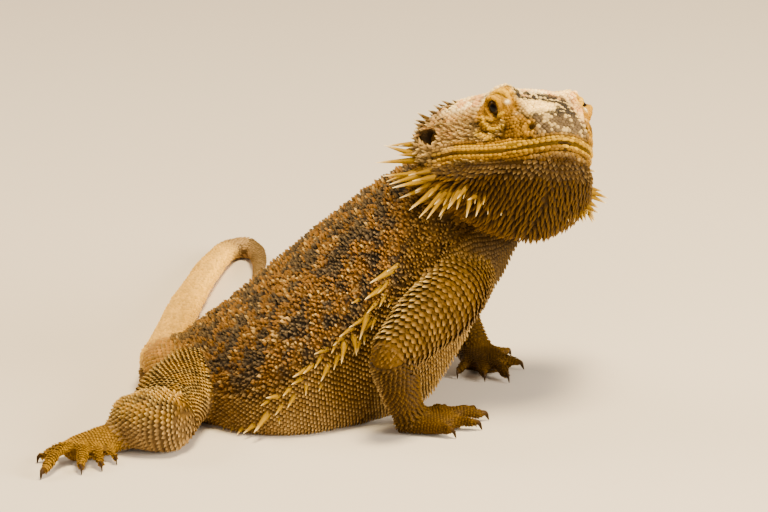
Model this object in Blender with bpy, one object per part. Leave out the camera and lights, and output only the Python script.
"""A life-size bearded dragon, still, resting on its belly with its chest and head raised.

Lengths are in millimetres in this file and become metres when a mesh is made.
The body lies along X with the head at +X, the animal's left at +Y and the floor at Z = 0.
"""
import math

import bmesh
import bpy
import numpy as np
from mathutils import Matrix, Vector

MM = 0.001
GAP = 0.3                 # clear space between neighbouring solids

# Head: measured from the snout tip, straight back
SNOUT_TIP = (60.1, -41.7, 93.6)
HEAD_YAW = -63.2          # degrees, turned to the animal's right
HEAD_PITCH = 16.1         # snout raised
HEAD_ROLL = -15.1         # left side lowered
EYE_RADIUS = 5.2
EYE_PLACE = (20.0, 13.0, 12.2)      # back, out, up from the snout tip
BROW_RIDGE = 4.0
EARDRUM_PLACE = (46.0, 26.2, 3.8)
EARDRUM_SIZE = (3.0, 1.6, 3.8)
NOSTRIL_PLACE = (8.0, 12.0, 5.0)
NOSTRIL_SIZE = (1.0, 2.2, 1.5)

# Limbs and spines
TOE_RADIUS = 1.9          # half the thickness of a middle toe
CLAW_LENGTH = 4.6         # on a toe of that thickness
SPINE_RADIUS = 1.0

# Sides of the rings that the solids are lofted from
TRUNK_SIDES = 22
HEAD_SIDES = 20
BEARD_SIDES = 18
TAIL_SIDES = 8
LIMB_SIDES = 10
TOE_SIDES = 5
CLAW_SIDES = 4
PIT_SIDES = 8
SPINE_SIDES = 3
LIMB_STEPS = 8            # rings along an upper arm, thigh or shank

COLOURS = {
    "skin_back": (0.30, 0.17, 0.07),
    "skin_beard": (0.36, 0.20, 0.03),
    "skin_head": (0.62, 0.47, 0.27),
    "skin_limb": (0.38, 0.22, 0.05),
    "skin_tail": (0.58, 0.40, 0.17),
    "eye": (0.05, 0.03, 0.01),
    "eardrum": (0.16, 0.09, 0.04),
    "claw": (0.10, 0.08, 0.06),
}
ROUGHNESS = {"eye": 0.08, "claw": 0.4, "eardrum": 0.5}


# ---------------------------------------------------------------- profiles, rings and lofts

def profile(*pairs):
    """A smooth function through (place, value) pairs, held level past both ends."""
    places, values = np.array(pairs, float).T
    slopes = np.gradient(values, places)

    def value_at(place):
        place = min(max(place, places[0]), places[-1])
        i = min(int(np.searchsorted(places, place, side="right")) - 1, len(places) - 2)
        step = places[i + 1] - places[i]
        t = (place - places[i]) / step
        rise = (1 + 2 * t) * (1 - t) ** 2 * values[i] + t * t * (3 - 2 * t) * values[i + 1]
        bend = t * (1 - t) ** 2 * slopes[i] - t * t * (1 - t) * slopes[i + 1]
        return float(rise + bend * step)
    return value_at


def signed_power(value, power):
    """value to a power, keeping its sign."""
    return math.copysign(abs(value) ** power, value)


def superellipse(angle, power):
    """The point of a unit superellipse at an angle: 2 is round, more is squarer."""
    return (signed_power(math.cos(angle), 2 / power), signed_power(math.sin(angle), 2 / power))


def ring_angles(sides):
    return [2 * math.pi * (i + 0.5) / sides for i in range(sides)]


def loft(rings):
    """A closed skin over rings of equal length, each end closed by a fan."""
    count, sides = len(rings), len(rings[0])
    verts = [tuple(p) for ring in rings for p in ring]
    faces = []
    for k in range(count - 1):
        for i in range(sides):
            j = (i + 1) % sides
            faces.append((k * sides + i, k * sides + j, (k + 1) * sides + j, (k + 1) * sides + i))
    for k, flip in ((0, True), (count - 1, False)):
        centre = len(verts)
        verts.append(tuple(np.mean(rings[k], axis=0)))
        for i in range(sides):
            a, b = k * sides + i, k * sides + (i + 1) % sides
            faces.append((b, a, centre) if flip else (a, b, centre))
    return verts, faces


def smooth_path(points, steps):
    """Points at even steps along a smooth curve through the given ones."""
    points = np.array(points, float)
    chord = np.concatenate([[0], np.cumsum(np.linalg.norm(np.diff(points, axis=0), axis=1))])
    axes = [profile(*zip(chord, points[:, k])) for k in range(points.shape[1])]
    return [np.array([axis(t) for axis in axes]) for t in np.linspace(0, chord[-1], steps)]


def tube_rings(points, steps, sides, power=2.0, up=(0, 0, 1), floor=0.0):
    """Rings along a path of (x, y, z, half width, half height); nothing goes below the floor."""
    path = smooth_path(points, steps)
    rings = []
    for k, here in enumerate(path):
        ahead, behind = path[min(k + 1, steps - 1)], path[max(k - 1, 0)]
        forward = Vector(ahead[:3] - behind[:3]).normalized()
        across = Vector(up).cross(forward).normalized()
        upward = forward.cross(across)
        ring = []
        for angle in ring_angles(sides):
            c, s = superellipse(angle, power)
            point = Vector(here[:3]) + across * (c * here[3]) + upward * (s * here[4])
            ring.append((point.x, point.y, max(point.z, floor)))
        rings.append(ring)
    return rings


# ---------------------------------------------------------------- objects

def material(slot):
    """One Principled material for each kind of surface."""
    mat = bpy.data.materials.get(slot)
    if mat is None:
        mat = bpy.data.materials.new(slot)
        mat.use_nodes = True
        shader = mat.node_tree.nodes["Principled BSDF"]
        shader.inputs["Base Color"].default_value = (*COLOURS[slot], 1.0)
        shader.inputs["Roughness"].default_value = ROUGHNESS.get(slot, 0.65)
        shader.inputs["Metallic"].default_value = 0.0
    return mat


def solid(name, shape, slot):
    """A mesh object, in metres, with outward faces."""
    verts, faces = shape
    mesh = bpy.data.meshes.new(name)
    mesh.from_pydata([tuple(c * MM for c in v) for v in verts], [], faces)
    bm = bmesh.new()
    bm.from_mesh(mesh)
    bmesh.ops.remove_doubles(bm, verts=bm.verts, dist=0.02 * MM)
    bmesh.ops.recalc_face_normals(bm, faces=bm.faces)
    bmesh.ops.triangulate(bm, faces=bm.faces)
    bm.to_mesh(mesh)
    bm.free()
    mesh.materials.append(material(slot))
    obj = bpy.data.objects.new(name, mesh)
    bpy.context.collection.objects.link(obj)
    return obj


def combine(body, tool, operation):
    """Apply one Boolean to body and leave the tool as it was.

    The manifold solver is used because both meshes are always closed here, and the exact one
    takes some of these limbs to lie wholly inside the trunk and removes them.
    """
    step = body.modifiers.new(operation.lower(), "BOOLEAN")
    step.operation = operation
    step.solver = "MANIFOLD"
    step.object = tool
    graph = bpy.context.evaluated_depsgraph_get()
    result = bpy.data.meshes.new_from_object(body.evaluated_get(graph))
    body.modifiers.clear()
    body.data = result


def discard(obj):
    bpy.data.objects.remove(obj)


def swollen(obj, amount=GAP + 0.05):
    """A helper copy of a solid, grown outwards by the gap."""
    copy = bpy.data.objects.new(obj.name + "_grown", obj.data.copy())
    bpy.context.collection.objects.link(copy)
    copy.hide_render = True
    copy.display_type = "WIRE"
    mesh = copy.data
    moved = [v.co + v.normal * amount * MM for v in mesh.vertices]
    for vertex, place in zip(mesh.vertices, moved):
        vertex.co = place
    return copy


def make_room(obj, *neighbours):
    """Cut the grown neighbours out of obj, and keep its largest piece."""
    for neighbour in neighbours:
        cutter = swollen(neighbour)
        combine(obj, cutter, "DIFFERENCE")
        discard(cutter)
    keep_largest(obj)


def keep_largest(obj):
    """Delete the crumbs that a cut leaves, and close tiny doubles."""
    bm = bmesh.new()
    bm.from_mesh(obj.data)
    unseen = set(bm.faces)
    pieces = []
    while unseen:
        stack = [unseen.pop()]
        piece = set(stack)
        while stack:
            for edge in stack.pop().edges:
                for face in edge.link_faces:
                    if face in unseen:
                        unseen.discard(face)
                        piece.add(face)
                        stack.append(face)
        pieces.append(piece)
    pieces.sort(key=lambda piece: sum(face.calc_area() for face in piece))
    crumbs = [face for piece in pieces[:-1] for face in piece]
    bmesh.ops.delete(bm, geom=crumbs, context="FACES")
    loose = [v for v in bm.verts if not v.link_faces]
    bmesh.ops.delete(bm, geom=loose, context="VERTS")
    bm.to_mesh(obj.data)
    bm.free()


# ---------------------------------------------------------------- trunk and neck

# Each is a height or width against the place along X
MIDLINE = profile((-84, 19), (-74, 15.5), (-62, 12), (-40, 8.5), (-20, 5), (0, 2), (24, -1), (40, -3),
                  (48, -6), (56, -9))
TOP = profile((-84, 8), (-81, 11.5), (-74, 17), (-62, 24.5), (-52, 31), (-40, 40.5), (-28, 50),
              (-14, 61.5), (0, 71.5), (12, 79), (24, 86.5), (36, 93), (44, 96), (50, 93), (56, 84))
UNDER = profile((-84, 4.5), (-80, -1), (-70, -3), (-50, -6), (-30, -7), (-5, -5), (5, -2.5), (12, 1.5),
                (20, 12), (25, 20), (30, 29), (38, 40), (45, 53), (50, 61), (56, 74))
WIDEST = profile((-84, 6.5), (-60, 9), (-51, 10), (-43, 12), (-30, 19), (-14, 29), (0, 40), (12, 47),
                 (24, 56), (36, 68), (46, 78), (56, 80))
HALF_WIDTH = profile((-84, 3), (-82, 7.5), (-77, 13), (-70, 20), (-60, 32), (-50, 41), (-40, 45),
                     (-28, 45.5), (-14, 40.5), (0, 34.5), (12, 29.5), (24, 25), (36, 21), (46, 17.5),
                     (52, 13), (56, 6))
BELLY_POWER = profile((-84, 2.2), (-50, 3.4), (-30, 3.6), (-5, 3.1), (12, 2.4), (56, 2.1))
NECK_CUT = (Vector((31, 0, 66)), Vector((0.937, 0.0, 0.349)))     # a point and the way it faces


def trunk_ring(x):
    """An upright section of the body at x, rounder above than below."""
    ring = []
    for angle in ring_angles(TRUNK_SIDES):
        above = math.sin(angle) > 0
        c, s = superellipse(angle, 2.1 if above else BELLY_POWER(x))
        reach = TOP(x) - WIDEST(x) if above else WIDEST(x) - UNDER(x)
        ring.append((x, MIDLINE(x) + c * HALF_WIDTH(x), max(WIDEST(x) + s * reach, 0.0)))
    return ring


def half_space(point, facing, offset):
    """A helper block that fills one side of a plane, offset along its facing."""
    turn = facing.to_track_quat("Z", "Y").to_matrix().to_4x4()
    centre = point + facing * (offset + 100)
    corners = [(x, y, z) for x in (-100, 100) for y in (-100, 100) for z in (-100, 100)]
    place = Matrix.Translation(centre) @ turn
    verts = [tuple(place @ Vector(c)) for c in corners]
    faces = [(0, 1, 3, 2), (4, 6, 7, 5), (0, 4, 5, 1), (2, 3, 7, 6), (0, 2, 6, 4), (1, 5, 7, 3)]
    block = solid("cut", (verts, faces), "skin_back")
    block.hide_render = True
    block.display_type = "WIRE"
    return block


def make_trunk_and_neck():
    """One loft from the vent to the head, parted by a slanting cut behind the jaw."""
    stations = [-84, -82, -77, -70, -62, -53, -43, -33, -22, -11, 0, 11, 21, 30, 38, 45, 51, 56]
    shape = loft([trunk_ring(x) for x in stations])
    pieces = []
    for name, facing in (("trunk", 1), ("neck", -1)):
        piece = solid(name, shape, "skin_back")
        block = half_space(NECK_CUT[0], NECK_CUT[1] * facing, -GAP / 2)
        combine(piece, block, "DIFFERENCE")
        discard(block)
        keep_largest(piece)
        pieces.append(piece)
    return pieces


# ---------------------------------------------------------------- head

HEAD_FRAME = (Matrix.Translation(SNOUT_TIP)
              @ Matrix.Rotation(math.radians(HEAD_YAW), 4, "Z")
              @ Matrix.Rotation(math.radians(-HEAD_PITCH), 4, "Y")
              @ Matrix.Rotation(math.radians(HEAD_ROLL), 4, "X"))


def head_point(back, out, up):
    """A place on the head from its distances behind, left of and above the snout tip."""
    return HEAD_FRAME @ Vector((-back, out, up))


CROWN = profile((0, 2.5), (2, 6.4), (5, 9.8), (9, 12.6), (13, 15.2), (17, 17.4), (22, 18.9), (29, 19.4),
                (36, 19), (43, 18.4), (49, 17), (54, 13), (58, 6))
CHEEK = profile((0, 4.2), (2, 8.3), (4, 10.8), (8, 14.0), (12, 16.2), (16, 18), (22, 20.4), (30, 23.4),
                (38, 26.4), (44, 28.6), (49, 28.6), (54, 21), (58, 10))
JAW_DEPTH = profile((0, 3), (2, 5.2), (6, 7.5), (14, 9.5), (30, 11), (44, 11), (52, 9), (58, 5))
MOUTH_LINE = profile((0, -0.2), (3, -0.8), (8, -2.6), (14, -3.5), (30, -3.3), (44, -3.2), (60, -3.2))
BEARD_DEPTH = profile((1, 5), (4, 9.5), (8, 14), (14, 20), (20, 25.5), (26, 28.8), (31, 28.2), (37, 25),
                      (44, 22), (50, 18), (57, 9))
BEARD_HALF_WIDTH = profile((1, 4), (4, 10), (8, 13.6), (12, 16.4), (20, 20.5), (30, 25), (38, 28.4),
                           (45, 30.8), (51, 29), (57, 16))


def head_ring(back):
    """A section of the head: a broad crown with a ridge over each eye, and a shallow jaw."""
    ring = []
    for angle in ring_angles(HEAD_SIDES):
        above = math.sin(angle) > 0
        c, s = superellipse(angle, 2.6 if above else 2.3)
        out = c * CHEEK(back)
        up = -2 + s * (CROWN(back) + 2 if above else JAW_DEPTH(back) - 2)
        near_brow = math.exp(-((back - 20) / 7.5) ** 2 - ((abs(out) - 12.6) / 3.6) ** 2)
        if above:
            up += BROW_RIDGE * near_brow
        ring.append(tuple(head_point(back, out, up)))
    return ring


def beard_ring(back):
    """A section of the pouch under the jaw, widest low down."""
    ring = []
    for angle in ring_angles(BEARD_SIDES):
        above = math.sin(angle) > 0
        c, s = superellipse(angle, 2.0 if above else 1.8)
        middle = -4 - 0.25 * BEARD_DEPTH(back)
        reach = -2.5 - middle if above else BEARD_DEPTH(back) + middle
        ring.append(tuple(head_point(back, c * BEARD_HALF_WIDTH(back), middle + s * reach)))
    return ring


def mouth_cutter(side):
    """A block with the curve of the lips on one face; side is +1 above the mouth, -1 below."""
    rings = []
    for back in np.linspace(-8, 66, 20):
        level = MOUTH_LINE(back) + side * -GAP / 2
        corners = ((-60, level), (60, level), (60, level + side * 60), (-60, level + side * 60))
        rings.append([tuple(head_point(back, out, up)) for out, up in corners])
    block = solid("mouth_cut", loft(rings), "skin_head")
    block.hide_render = True
    block.display_type = "WIRE"
    return block


def ellipsoid(centre, radii, turn, steps, sides):
    """Rings of an ellipsoid about the first of its axes."""
    rings = []
    for k in range(1, steps):
        lean = math.pi * k / steps
        ring = []
        for angle in ring_angles(sides):
            local = Vector((radii[0] * -math.cos(lean), radii[1] * math.sin(lean) * math.cos(angle),
                            radii[2] * math.sin(lean) * math.sin(angle)))
            ring.append(tuple(Vector(centre) + turn @ local))
        rings.append(ring)
    return rings


def make_head():
    """The head and its lower jaw, parted along the lips, and the pouch under them."""
    backs = [0, 1.4, 4, 8, 12.5, 16.5, 20, 24, 29, 35, 41, 46, 50, 54, 58]
    shape = loft([head_ring(back) for back in backs])
    head = solid("head", shape, "skin_head")
    jaw = solid("lower_jaw", shape, "skin_beard")
    for piece, side in ((head, -1), (jaw, 1)):
        cutter = mouth_cutter(side)
        combine(piece, cutter, "DIFFERENCE")
        discard(cutter)
        keep_largest(piece)
    backs = [1, 3, 7, 13, 20, 27, 34, 41, 47, 52, 57]
    beard = solid("beard", loft([beard_ring(back) for back in backs]), "skin_beard")
    make_room(beard, head, jaw)
    return head, jaw, beard


def hollow(body, name, centre, radii):
    """Press a rounded pit into the head."""
    rings = ellipsoid(centre, radii, HEAD_FRAME.to_3x3(), 6, PIT_SIDES)
    cutter = solid(name, loft(rings), "eardrum")
    combine(body, cutter, "DIFFERENCE")
    discard(cutter)


def add_senses(head):
    """Eyes in their sockets, eardrums in shallow pits, and the two nostrils."""
    turn = HEAD_FRAME.to_3x3()
    pieces = []
    for name, side in (("right", -1), ("left", 1)):
        back, out, up = EYE_PLACE
        sphere = ellipsoid(head_point(back, side * out, up), (EYE_RADIUS,) * 3, turn, 7, PIT_SIDES)
        eye = solid("eye_" + name, loft(sphere), "eye")
        socket = (EYE_RADIUS + GAP + 0.25,) * 3
        hollow(head, "socket", head_point(back, side * out, up), socket)
        back, out, up = EARDRUM_PLACE
        width, depth, height = EARDRUM_SIZE
        lens = ellipsoid(head_point(back, side * out, up), EARDRUM_SIZE, turn, 5, PIT_SIDES)
        drum = solid("eardrum_" + name, loft(lens), "eardrum")
        pit = (width + 1.4, depth + 3.0, height + 1.4)
        hollow(head, "ear_pit", head_point(back, side * (out + 1.9), up), pit)
        back, out, up = NOSTRIL_PLACE
        hollow(head, "nostril_pit", head_point(back, side * out, up), NOSTRIL_SIZE)
        pieces += [eye, drum]
    keep_largest(head)
    return pieces


# ---------------------------------------------------------------- tail

TAIL_ROUTE = [
    (-66, 4, 11, 11.5, 10.0), (-71, 14, 10.4, 11.5, 10.2), (-75.5, 27, 8.8, 9.0, 9.0),
    (-76.2, 45, 7.0, 6.9, 7.2), (-74.4, 70, 6.1, 6.2, 6.3), (-71.6, 98, 5.6, 5.7, 5.8),
    (-68, 124, 5.0, 5.2, 5.2), (-64, 148, 4.6, 4.9, 4.8), (-60, 166, 4.2, 4.6, 4.4),
    (-56, 177, 4.0, 4.4, 4.2), (-51, 180.5, 3.7, 4.1, 3.9), (-47, 175, 3.4, 3.6, 3.5),
    (-45.5, 164, 3.0, 3.1, 3.1), (-45.5, 152, 2.5, 2.5, 2.6), (-46.5, 140, 1.9, 1.9, 2.0),
    (-48, 129, 1.4, 1.3, 1.5), (-50, 119, 0.9, 0.8, 1.0),
]
TAIL_STEPS = 39
TAIL_CUTS = (0, 9, 18, 26, 32, 38)      # rings where one length ends and the next begins


def make_tail():
    """A tapering tail in five lengths, bent sharply at the vent and curled at its end."""
    rings = tube_rings(TAIL_ROUTE, TAIL_STEPS, TAIL_SIDES, power=2.15)
    pieces = []
    for k in range(len(TAIL_CUTS) - 1):
        first, last = TAIL_CUTS[k], TAIL_CUTS[k + 1]
        part = [np.array(ring) for ring in rings[first:last + 1]]
        if k > 0:
            step = part[1].mean(axis=0) - part[0].mean(axis=0)
            part[0] = part[0] + step * (GAP / np.linalg.norm(step))
            part[0][:, 2] = np.maximum(part[0][:, 2], 0)
        pieces.append(solid("tail_%d" % (k + 1), loft(part), "skin_tail"))
    return pieces


# ---------------------------------------------------------------- limbs

def limb(name, points, steps, slot="skin_limb", power=2.0):
    """A tapering limb with a rounded far end, along (x, y, z, half width, half height)."""
    rings = tube_rings(points, steps, LIMB_SIDES, power)
    return solid(name, loft(rings), slot)


def rounded(points):
    """Close a limb's far end with two shrinking stations past the last one."""
    last, before = np.array(points[-1], float), np.array(points[-2], float)
    way = last[:3] - before[:3]
    way /= np.linalg.norm(way)
    reach = max(last[3], last[4])
    cap = []
    for along, size in ((0.5, 0.87), (0.8, 0.6), (0.97, 0.25)):
        place = last[:3] + way * reach * along
        cap.append((*place, last[3] * size, last[4] * size))
    return [*points, *cap]


def toe(name, root, claw_tip, arch, radius):
    """A toe that arches from its root to the claw, and the claw that curves to the floor."""
    root, claw_tip = Vector(root), Vector(claw_tip)
    way = claw_tip - root
    way.z = 0
    claw_length = CLAW_LENGTH * radius / TOE_RADIUS
    end = root + way * (1 - 0.62 * claw_length / way.length)
    end.z = radius + 0.7
    top = (root + end) / 2
    top.z = max(root.z, end.z) * 0.5 + arch
    points = [(*root, radius * 1.25, radius * 1.25), (*top, radius, radius),
              (*end, radius * 0.92, radius * 0.95)]
    rings = tube_rings(points, 4, TOE_SIDES)
    finger = solid(name + "_toe", loft(rings), "skin_limb")
    forward = (Vector(points[2][:3]) - Vector(top)).normalized()
    start = end + forward * (GAP + 0.5)
    bend = start.lerp(claw_tip, 0.5) + Vector((0, 0, 0.9))
    route = [(*start, radius * 0.68, radius * 0.8), (*bend, radius * 0.42, radius * 0.62),
             (claw_tip.x, claw_tip.y, 0.1, 0.3, 0.42)]
    claw = solid(name, loft(tube_rings(route, 3, CLAW_SIDES)), "claw")
    return finger, claw


def make_foot(name, palm, toes, limb_end):
    """A palm with its five toes joined to it, and five claws of their own."""
    body = solid(name, loft(tube_rings(rounded(palm), 7, LIMB_SIDES, power=2.3)), "skin_limb")
    claws = []
    for k, (root, tip, arch, radius) in enumerate(toes):
        finger, claw = toe("%s_claw_%d" % (name, k + 1), root, tip, arch, radius)
        combine(body, finger, "UNION")
        discard(finger)
        claws.append(claw)
    make_room(body, limb_end)
    return [body, *claws]


def make_right_arm(trunk, neck):
    upper = limb("upper_arm_right", rounded([
        (26, -14, 47, 11, 13), (20, -27, 41, 10.5, 12), (9, -39, 34.5, 8.9, 10), (1.5, -47, 30, 7.4, 7.8)]),
        LIMB_STEPS)
    make_room(upper, trunk, neck)
    lower = limb("forearm_right", [
        (-1.5, -49, 33, 4, 4), (-0.5, -48.5, 30, 7, 7), (0.8, -46.5, 24, 7.2, 7.2),
        (2.4, -42.5, 15, 6.4, 6.2), (4, -39, 8, 5.6, 5.0), (5.5, -38, 5.0, 5.0, 4.2)], 8)
    make_room(lower, upper, trunk)
    palm = [(1.5, -38.5, 6.0, 4.5, 5.5), (4, -38.3, 4.6, 6.0, 4.9), (9, -38.2, 3.4, 7.4, 4.0),
            (13, -38, 2.8, 7.6, 3.4)]
    toes = [((9, -33, 3.4), (17, -21.5, 0), 1.6, 1.75), ((13, -34, 3.6), (26.5, -25.5, 0), 2.0, 1.85),
            ((14, -36.5, 3.6), (30.2, -33, 0), 2.4, 2.1), ((13.5, -39.5, 3.4), (27.6, -43, 0), 1.6, 2.1),
            ((8, -43, 2.8), (19, -49.8, 0), 1.2, 2.0)]
    return [upper, lower, *make_foot("hand_right", palm, toes, lower)]


def make_left_arm(trunk, neck):
    upper = limb("upper_arm_left", rounded([
        (26, 12, 47, 11, 13), (24, 25, 40, 10, 11.5), (20.5, 36, 33, 8.9, 10), (19, 43, 28.5, 7.4, 7.8)]),
        LIMB_STEPS)
    make_room(upper, trunk, neck)
    lower = limb("forearm_left", [
        (17.5, 44.5, 31, 4, 4), (18.5, 44, 28.5, 7, 7), (20.5, 41.5, 23, 7.2, 7.2),
        (24, 37, 15, 6.4, 6.2), (27, 33, 8, 5.6, 5.0), (28.5, 31, 5.2, 5.0, 4.2)], 8)
    make_room(lower, upper, trunk)
    palm = [(26, 34, 6.0, 4.5, 5.5), (27.5, 31.5, 4.6, 6.0, 4.9), (30, 26.5, 3.4, 7.2, 4.0),
            (32, 22.5, 2.8, 7.4, 3.4)]
    toes = [((26, 25, 3.2), (21.5, 13.5, 0), 1.6, 1.75), ((29.5, 21, 3.6), (30.5, 7.5, 0), 2.2, 1.85),
            ((32.5, 20, 3.6), (38.5, 5, 0), 2.6, 2.1), ((35, 22.5, 3.4), (44, 18.5, 0), 1.8, 2.1),
            ((34, 28, 3.0), (40.5, 35, 0), 1.6, 1.9)]
    return [upper, lower, *make_foot("hand_left", palm, toes, lower)]


def make_right_leg(trunk, tail_root):
    thigh = limb("thigh_right", rounded([
        (-64, -2, 12, 12.5, 10.8), (-70.5, -18, 11.5, 12.8, 11), (-73.5, -32, 10.8, 11.6, 10.4),
        (-73.5, -39.5, 10.2, 10, 9.6)]), LIMB_STEPS)
    make_room(thigh, trunk, tail_root)
    shank = limb("shank_right", rounded([
        (-68, -43, 10, 7, 7.5), (-73, -42, 10, 9, 9.2), (-78.5, -39.5, 10.4, 9.4, 9.6),
        (-84, -36.5, 9.8, 8.2, 8.6)]), LIMB_STEPS)
    make_room(shank, thigh, trunk)
    sole = [(-84, -37.5, 6.5, 4.5, 4.5), (-91, -39.5, 5.5, 4.6, 5.0), (-98, -42, 4.5, 5.4, 4.7),
            (-102, -43.5, 3.9, 5.6, 4.1)]
    toes = [((-93, -42, 3.8), (-90, -53, 0), 1.6, 1.6), ((-97, -44, 4.2), (-94.5, -58.5, 0), 2.2, 1.75),
            ((-101, -45, 4.6), (-101, -60.5, 0), 3.0, 1.95), ((-104, -44.5, 4.8), (-114, -62.5, 0), 3.6, 2.1),
            ((-103, -41.5, 4.4), (-116, -45, 0), 2.4, 1.8)]
    return [thigh, shank, *make_foot("foot_right", sole, toes, shank)]


def make_left_leg(trunk, tail_root):
    thigh = limb("thigh_left", rounded([
        (-58, 26, 12, 12, 10.5), (-50, 37, 11.8, 12, 10.8), (-38, 48.5, 11, 10.6, 10),
        (-32, 54, 10.3, 9.6, 9.3)]), LIMB_STEPS)
    make_room(thigh, trunk, tail_root)
    shank = limb("shank_left", rounded([
        (-27, 54, 10, 7, 7.5), (-30, 58, 9.8, 9, 9.0), (-37, 62.5, 8.8, 8.6, 8.6),
        (-44.5, 66, 6.8, 6.4, 6.6)]), LIMB_STEPS)
    make_room(shank, thigh, trunk)
    sole = [(-43.5, 66, 6.0, 4.5, 4.5), (-46, 71.5, 4.8, 4.6, 4.7), (-44.5, 78.5, 4.1, 5.4, 4.3),
            (-43, 83, 3.7, 5.6, 3.9)]
    toes = [((-41, 75, 3.6), (-30.5, 75.5, 0), 1.6, 1.6), ((-40, 80, 4.0), (-26.5, 84, 0), 2.2, 1.75),
            ((-40.5, 83, 4.4), (-27.5, 94, 0), 3.0, 1.95), ((-43, 85, 4.4), (-34.5, 104, 0), 3.4, 2.1),
            ((-46, 82, 4.0), (-49, 95, 0), 2.2, 1.8)]
    return [thigh, shank, *make_foot("foot_left", sole, toes, shank)]


# ---------------------------------------------------------------- spines

def spine(root, way, length, radius):
    """A pointed scale: a slim three-sided pyramid that starts inside the body."""
    root, way = Vector(root), Vector(way).normalized()
    side = way.orthogonal().normalized()
    other = way.cross(side)
    foot = root - way * 1.2
    base = [foot + (side * math.cos(a) + other * math.sin(a)) * radius * 1.3
            for a in ring_angles(SPINE_SIDES)]
    verts = [(p.x, p.y, max(p.z, 0.2)) for p in [*base, root + way * length]]
    faces = [(2, 1, 0), (0, 1, 3), (1, 2, 3), (2, 0, 3)]
    return verts, faces


def join_spines(body, spines, *neighbours):
    """Unite a set of spines with the body that they grow from, clear of its neighbours."""
    verts, faces = [], []
    for one in spines:
        start = len(verts)
        verts += one[0]
        faces += [tuple(start + i for i in face) for face in one[1]]
    tool = solid("spines", (verts, faces), "skin_beard")
    for neighbour in neighbours:
        cutter = swollen(neighbour, 2.5 * GAP)
        combine(tool, cutter, "DIFFERENCE")
        discard(cutter)
    combine(body, tool, "UNION")
    discard(tool)
    keep_largest(body)


def flank_point(x, side, angle):
    """The point of the flank at x and an angle above its widest line."""
    c, s = superellipse(angle, 2.1 if angle > 0 else BELLY_POWER(x))
    reach = TOP(x) - WIDEST(x) if angle > 0 else WIDEST(x) - UNDER(x)
    return (x, MIDLINE(x) + side * c * HALF_WIDTH(x), WIDEST(x) + s * reach)


# Against the place along the flank, from the thigh to behind the arm: the angle at which the row of
# long spines sits, how long they are, and how far each leans back and hangs down
FLANK_ANGLE = profile((-54, -0.42), (-48, -0.28), (-41, -0.05), (-30, 0.05), (-16, 0.08), (-8, 0.12),
                      (-3, 0.18), (3, 0.33))
FLANK_LENGTH = profile((-54, 3), (-47, 4), (-41, 6), (-30, 5.6), (-14, 6.8), (-6, 8), (3, 7.2))
FLANK_LEAN = profile((-54, 0.9), (-42, 0.75), (-30, 0.35), (-12, 0.25), (-5, 0.55), (3, 1.3))
FLANK_HANG = profile((-54, 0.2), (-42, 0.5), (-30, 0.75), (-12, 0.9), (-5, 0.7), (3, 0.15))


def flank_spines():
    """A main row of long spines along each flank, with smaller ones above and below it."""
    spines = []
    for side in (-1, 1):
        for lift, size, first, last, count in ((0.0, 1.0, -54, 3, 15), (0.19, 0.5, -46, -2, 9),
                                               (-0.2, 0.35, -36, -6, 3)):
            for k in range(count):
                x = first + (last - first) * k / (count - 1)
                root = flank_point(x, side, FLANK_ANGLE(x) + lift)
                way = (-FLANK_LEAN(x), side * 0.8, -FLANK_HANG(x))
                spines.append(spine(root, way, FLANK_LENGTH(x) * size, SPINE_RADIUS * (0.6 + 0.4 * size)))
    return spines


def beard_spines():
    """Rows of spines that fan back and out from the corner of the jaw and along the pouch."""
    spines = []
    turn = HEAD_FRAME.to_3x3()
    for side in (-1, 1):
        for row, angle in enumerate((0.10, -0.18, -0.46, -0.76)):
            for k in range(5):
                back = 50.5 - 4.8 * k - 1.8 * (row % 2)
                root = beard_surface(back, side, angle - 0.06 * k)
                length = 9.0 - 0.9 * k - 0.4 * row
                way = turn @ Vector((-0.80, side * (0.78 - 0.08 * row), 0.02 - 0.26 * row - 0.04 * k))
                spines.append(spine(root, way, length, SPINE_RADIUS))
    return spines


def jaw_spines():
    """Spines at the corner of the jaw, between the ear and the pouch."""
    spines = []
    turn = HEAD_FRAME.to_3x3()
    for side in (-1, 1):
        for k in range(3):
            back = 51 - 3.6 * k
            c, s = superellipse(-0.30, 2.3)
            root = head_point(back, side * c * CHEEK(back), -2 + s * (JAW_DEPTH(back) - 2))
            way = turn @ Vector((-0.78, side * 0.72, 0.06))
            spines.append(spine(root, way, 8.2 - 0.9 * k, SPINE_RADIUS * 0.9))
    return spines


def beard_surface(back, side, angle):
    """The point of the pouch's side at an angle from its widest line."""
    c, s = superellipse(angle, 1.8 if angle < 0 else 2.0)
    middle = -4 - 0.25 * BEARD_DEPTH(back)
    reach = BEARD_DEPTH(back) + middle if angle < 0 else -2.5 - middle
    return head_point(back, side * c * BEARD_HALF_WIDTH(back), middle + s * reach)


def chin_spines():
    """Short spines on the lower sides of the pouch, under the snout."""
    spines = []
    for side in (-1, 1):
        for row in range(2):
            for k in range(3):
                back = 10 + 6 * k + 2 * row
                root = beard_surface(back, side, -0.45 - 0.42 * row)
                way = HEAD_FRAME.to_3x3() @ Vector((-0.25, side * 0.75, -0.62 - 0.3 * row))
                spines.append(spine(root, way, 3.4, SPINE_RADIUS * 0.8))
    return spines


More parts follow.
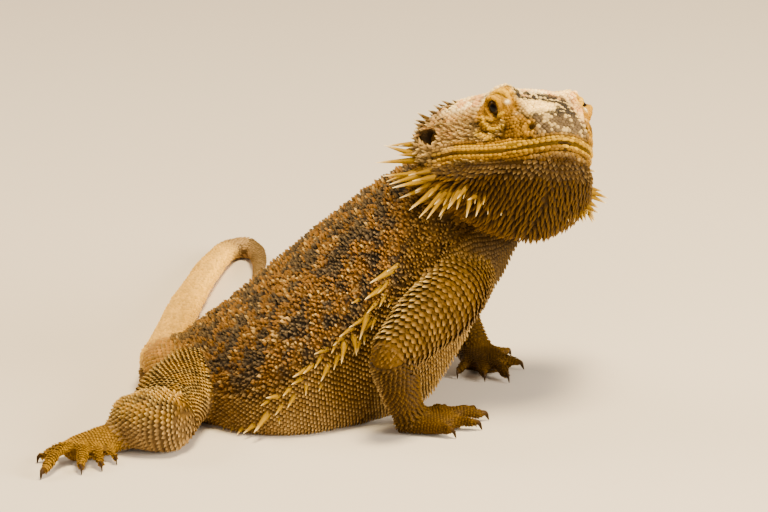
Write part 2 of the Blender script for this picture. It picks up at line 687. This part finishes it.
def ear_spines():
    """Short spikes on the temple, above and behind the ear."""
    spines = []
    turn = HEAD_FRAME.to_3x3()
    for side in (-1, 1):
        for row in range(2):
            for k in range(5):
                angle = 0.16 + 0.2 * k + 0.1 * row
                back = 51.0 - 3.4 * row - 0.8 * k
                c, s = superellipse(angle, 2.6)
                root = head_point(back, side * c * CHEEK(back), -2 + s * (CROWN(back) + 2))
                way = turn @ Vector((-0.80, side * 0.72, 0.05 + 0.14 * k))
                spines.append(spine(root, way, 5.4 - 0.35 * k - 0.8 * row, SPINE_RADIUS * 0.85))
    return spines


# ---------------------------------------------------------------- assembly

def settle(pieces):
    """Move the whole animal so that its box is centred on the origin and stands on the floor."""
    points = np.array([v.co for piece in pieces for v in piece.data.vertices])
    low, high = points.min(axis=0), points.max(axis=0)
    shift = Vector((-(low[0] + high[0]) / 2, -(low[1] + high[1]) / 2, -low[2]))
    for piece in pieces:
        piece.data.transform(Matrix.Translation(shift))


def finish(piece):
    """Triangles only, shaded smooth except at sharp edges."""
    bm = bmesh.new()
    bm.from_mesh(piece.data)
    bmesh.ops.triangulate(bm, faces=bm.faces)
    bmesh.ops.recalc_face_normals(bm, faces=bm.faces)
    bm.to_mesh(piece.data)
    bm.free()
    piece.data.shade_smooth()
    piece.data.set_sharp_from_angle(angle=math.radians(50))


def main():
    for obj in list(bpy.data.objects):
        bpy.data.objects.remove(obj)
    trunk, neck = make_trunk_and_neck()
    head, jaw, beard = make_head()
    make_room(neck, head, jaw, beard)
    make_room(trunk, head, jaw, beard)
    tail = make_tail()
    make_room(tail[0], trunk)
    limbs = [*make_right_arm(trunk, neck), *make_left_arm(trunk, neck)]
    limbs += [*make_right_leg(trunk, tail[0]), *make_left_leg(trunk, tail[0])]
    roots = [limb for limb in limbs if limb.name.startswith(("upper_arm", "thigh"))]
    join_spines(beard, beard_spines() + chin_spines(), neck, trunk, jaw, head)
    join_spines(jaw, jaw_spines(), neck, trunk, beard, head)
    senses = add_senses(head)
    join_spines(head, ear_spines(), neck, trunk, jaw, beard)
    join_spines(trunk, flank_spines(), *roots)
    pieces = [trunk, neck, head, jaw, beard, *senses, *tail, *limbs]
    for piece in pieces:
        finish(piece)
    settle(pieces)


main()
